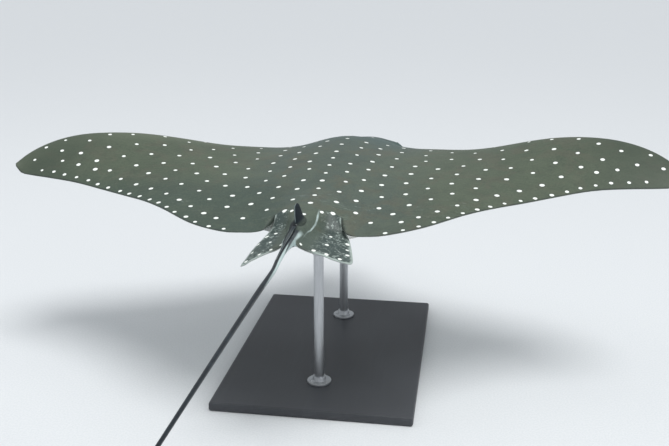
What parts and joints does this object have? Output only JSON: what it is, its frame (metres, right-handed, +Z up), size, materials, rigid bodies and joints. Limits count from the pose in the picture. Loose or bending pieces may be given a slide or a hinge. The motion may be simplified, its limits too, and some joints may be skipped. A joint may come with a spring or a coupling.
{
  "type": "spotted eagle ray model",
  "caption": "Life-size spotted eagle ray held in mid-glide on a plain display stand with a flat base and slim rods.",
  "frame": {"origin": "middle of the stand base's underside, on the floor", "axes": "the animal faces -Y, +X is towards its left wing, +Z up"},
  "size_m": [1.5051, 3.5245, 0.5411],
  "materials": {
    "skin": "satin",
    "tail_skin": "satin",
    "eye": "gloss",
    "spine": "satin",
    "base_paint": "satin paint",
    "rod_steel": "brushed"
  },
  "bodies": {
    "root": {"snout": "skin", "head": "skin", "eye_left": "eye", "eye_right": "eye", "trunk": "skin", "pectoral_left": "skin", "pectoral_right": "skin", "pelvic_left": "skin", "pelvic_right": "skin", "dorsal_fin": "tail_skin", "sting_upper": "spine", "sting_lower": "spine", "tail_base": "skin", "tail_fore": "tail_skin", "tail_middle": "tail_skin", "tail_rear": "tail_skin", "tail_whip": "tail_skin", "stand_base": "base_paint", "stand_rod_front": "rod_steel", "stand_rod_rear": "rod_steel"}
  },
  "joints": []
}
